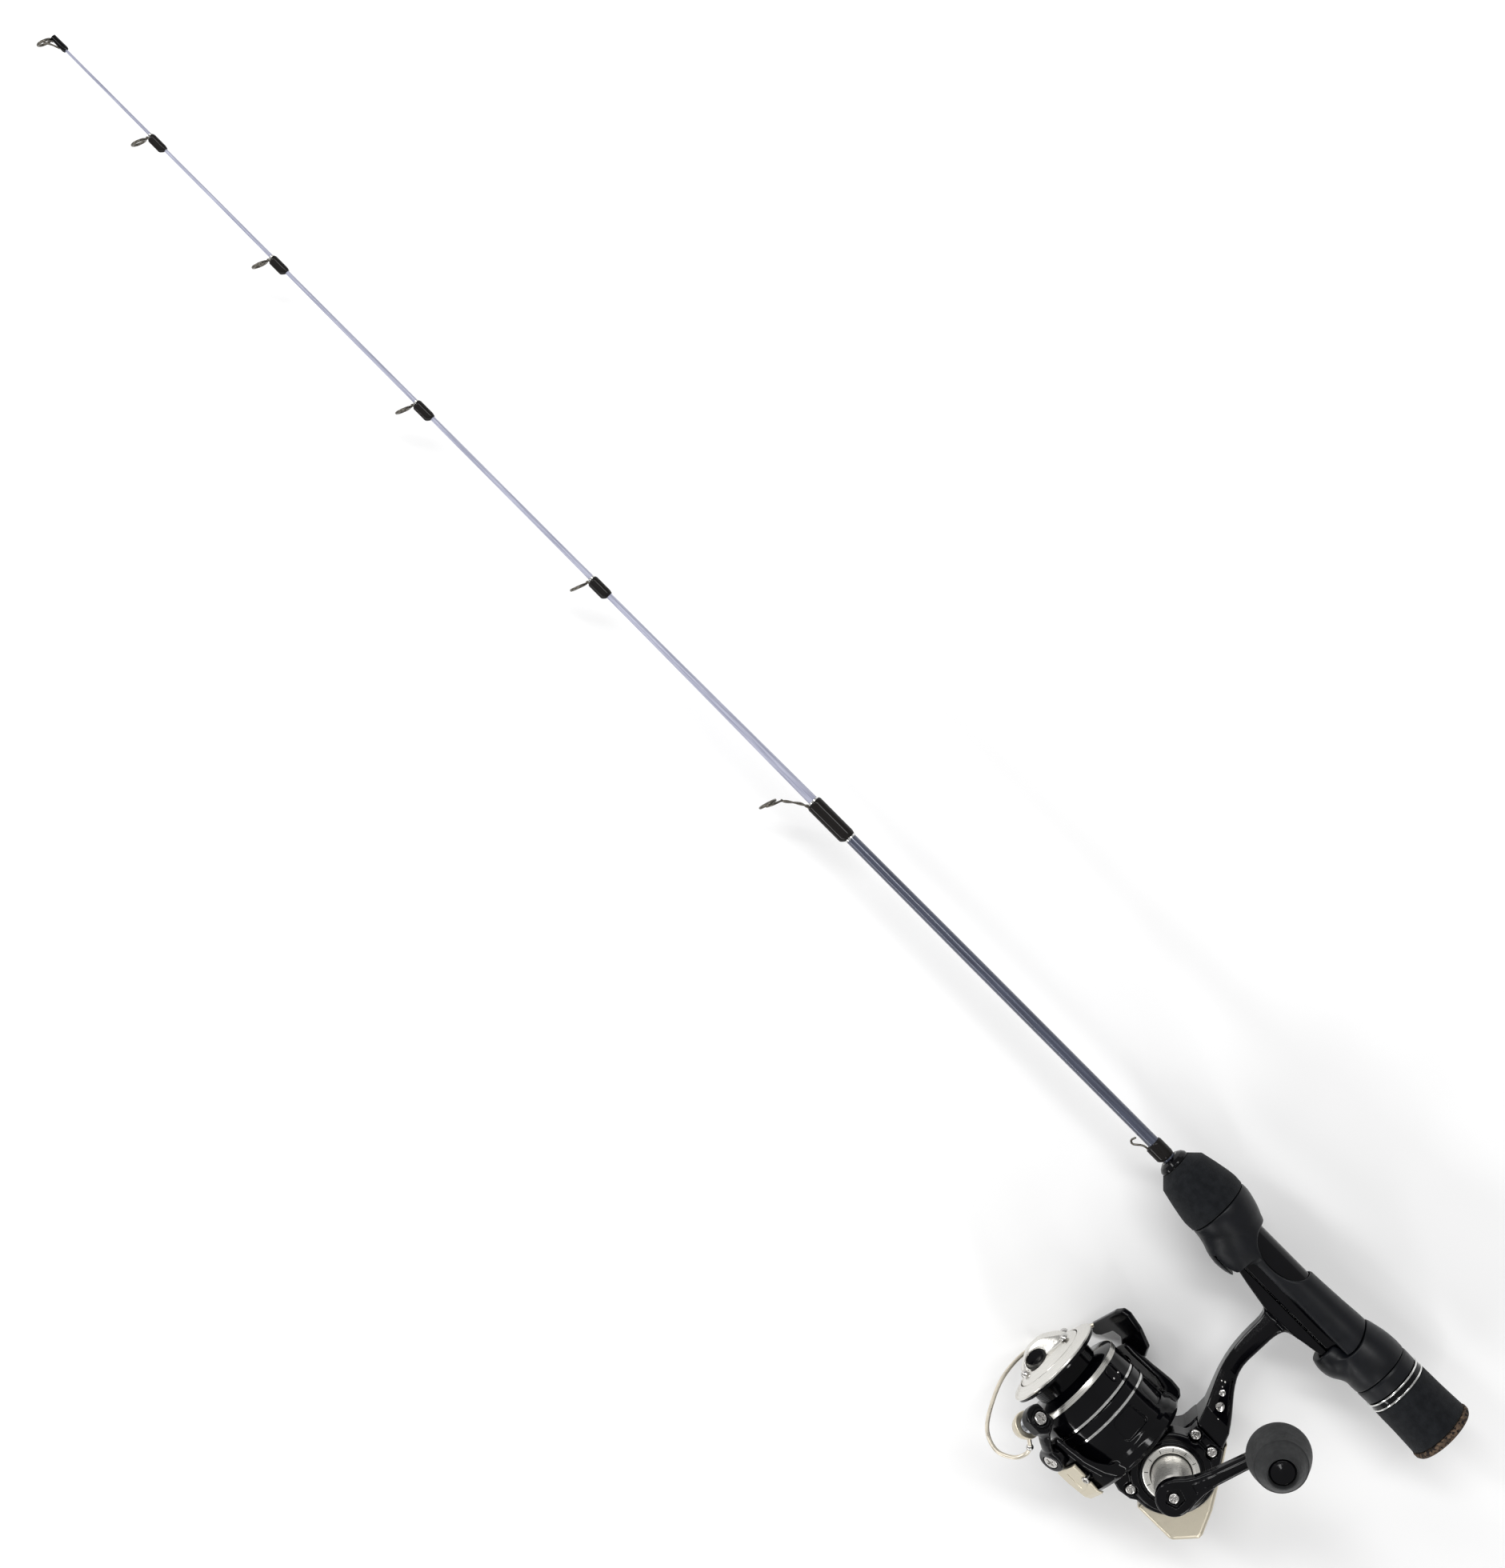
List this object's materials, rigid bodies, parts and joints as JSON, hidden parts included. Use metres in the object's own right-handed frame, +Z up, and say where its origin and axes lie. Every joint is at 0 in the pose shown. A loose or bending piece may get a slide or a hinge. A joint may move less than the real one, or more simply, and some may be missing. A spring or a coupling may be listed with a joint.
{
  "type": "ice fishing rod and reel",
  "caption": "Short ice fishing rod lying on its side, with wire line guides, foam grips, a screw-down reel seat and a small spinning reel with crank and bail.",
  "frame": {"origin": "under the middle of the object's box, on the plane it lies on", "axes": "-X to the rod's tip and +X to its butt, along the rod; -Y from the rod to the reel; +Z up, the side with the crank"},
  "size_m": [0.7132, 0.1316, 0.098],
  "materials": {
    "tip_glass": "satin lavender-grey lacquer over solid glass fibre",
    "slate_blank": "satin slate grey lacquer over graphite",
    "thread": "black thread under clear epoxy",
    "guide_wire": "dark chromed wire",
    "foam": "fine-celled charcoal foam",
    "soft_touch": "soft-touch black",
    "gloss_black": "piano black lacquer",
    "champagne": "satin champagne silver paint",
    "brushed_silver": "fine turned aluminium",
    "bright_trim": "polished rings with a dark band",
    "screw_chrome": "bright plated",
    "bail_metal": "warm polished steel",
    "steel": "ground steel",
    "brass": "machined",
    "knob_rubber": "matte moulded rubber",
    "felt": "oiled felt",
    "rubber_cork": "speckled rubberised cork"
  },
  "bodies": {
    "rod": {"tip_blank": "tip_glass", "butt_blank": "slate_blank", "tip_top": "guide_wire", "guide_2": "guide_wire", "guide_3": "guide_wire", "guide_4": "guide_wire", "guide_5": "guide_wire", "guide_6": "guide_wire", "guide_wrap_2": "thread", "guide_wrap_3": "thread", "guide_wrap_4": "thread", "guide_wrap_5": "thread", "guide_wrap_6": "thread", "hook_keeper": "guide_wire", "keeper_wrap": "thread", "winding_check": "gloss_black", "fore_grip": "foam", "seat_tube": "gloss_black", "seat_body": "soft_touch", "reel_body": "gloss_black", "side_cover": "gloss_black", "rear_guard": "champagne", "cover_screw_1": "screw_chrome", "cover_screw_2": "screw_chrome", "cover_screw_3": "screw_chrome", "dial_ring": "brushed_silver", "crank_bearing_upper": "steel", "crank_bearing_lower": "steel", "anti_reverse_clutch": "steel", "pinion_bearing": "steel"},
    "crank": {"drive_gear": "brass", "crank_hub": "brushed_silver", "crank_arm": "gloss_black", "crank_arm_screw": "screw_chrome", "knob_spindle": "steel"},
    "knob": {"knob": "knob_rubber", "knob_cap": "knob_rubber"},
    "rotor": {"rotor": "gloss_black", "pinion_gear": "brass", "rotor_nut": "steel", "rotor_arm_cover": "champagne"},
    "bail": {"bail_arm_roller": "gloss_black", "bail_arm_far": "gloss_black", "bail_wire": "bail_metal", "bail_pivot_screw": "screw_chrome"},
    "line_roller": {"line_roller": "steel"},
    "main_shaft": {"main_shaft": "steel", "oscillation_slider": "brass"},
    "spool": {"spool": "gloss_black", "spool_lip": "brushed_silver", "drag_washer": "felt"},
    "drag_knob": {"drag_knob": "brushed_silver"},
    "cam_gear": {"cam_gear": "brass"},
    "rear_hood": {"rear_hood": "soft_touch"},
    "twist_grip": {"lock_nut": "soft_touch", "trim_collar": "bright_trim", "rear_grip": "foam", "butt_cap": "rubber_cork"}
  },
  "joints": [
    {"name": "crank_turn", "type": "hinge", "parent": "rod", "child": "crank", "pos_m": [0.29613, -0.02497, 0.02926], "axis": [0, 0, 1], "continuous": true},
    {"name": "knob_spin", "type": "hinge", "parent": "crank", "child": "knob", "pos_m": [0.30752, 0.01383, 0.02926], "axis": [0, 0, 1], "continuous": true},
    {"name": "rotor_spin", "type": "hinge", "parent": "rod", "child": "rotor", "pos_m": [0.26562, -0.03017, 0.02926], "axis": [1, 0, 0], "continuous": true},
    {"name": "cam_spin", "type": "hinge", "parent": "rod", "child": "cam_gear", "pos_m": [0.30223, -0.03554, 0.02926], "axis": [0, 0, 1], "continuous": true},
    {"name": "bail_flip", "type": "hinge", "parent": "rotor", "child": "bail", "pos_m": [0.26222, -0.03017, 0.02926], "axis": [0, 0.7193, -0.6947], "range_deg": [0, 105]},
    {"name": "line_roller_spin", "type": "hinge", "parent": "bail", "child": "line_roller", "pos_m": [0.24622, -0.04589, 0.05473], "axis": [0, 0.6947, 0.7193], "continuous": true},
    {"name": "spool_stroke", "type": "slide", "parent": "rod", "child": "main_shaft", "axis": [-1, 0, 0], "range_m": [0, 0.006]},
    {"name": "drag_slip", "type": "hinge", "parent": "main_shaft", "child": "spool", "pos_m": [0.25062, -0.03017, 0.02926], "axis": [1, 0, 0], "continuous": true},
    {"name": "drag_knob_turn", "type": "hinge", "parent": "main_shaft", "child": "drag_knob", "pos_m": [0.23763, -0.03017, 0.02926], "axis": [1, 0, 0], "range_deg": [-360, 360]},
    {"name": "hood_slide", "type": "slide", "parent": "rod", "child": "rear_hood", "axis": [1, 0, 0], "range_m": [0, 0.008]},
    {"name": "grip_twist", "type": "hinge", "parent": "rear_hood", "child": "twist_grip", "pos_m": [0.33563, 0.05303, 0.02926], "axis": [1, 0, 0], "range_deg": [0, 1440]}
  ],
  "couplings": [
    {"joint": "rotor_spin", "follows": "crank_turn", "ratio": -5.1667},
    {"joint": "cam_spin", "follows": "crank_turn", "ratio": -3.1},
    {"joint": "hood_slide", "follows": "grip_twist", "m_per_rad": 0.000318}
  ]
}
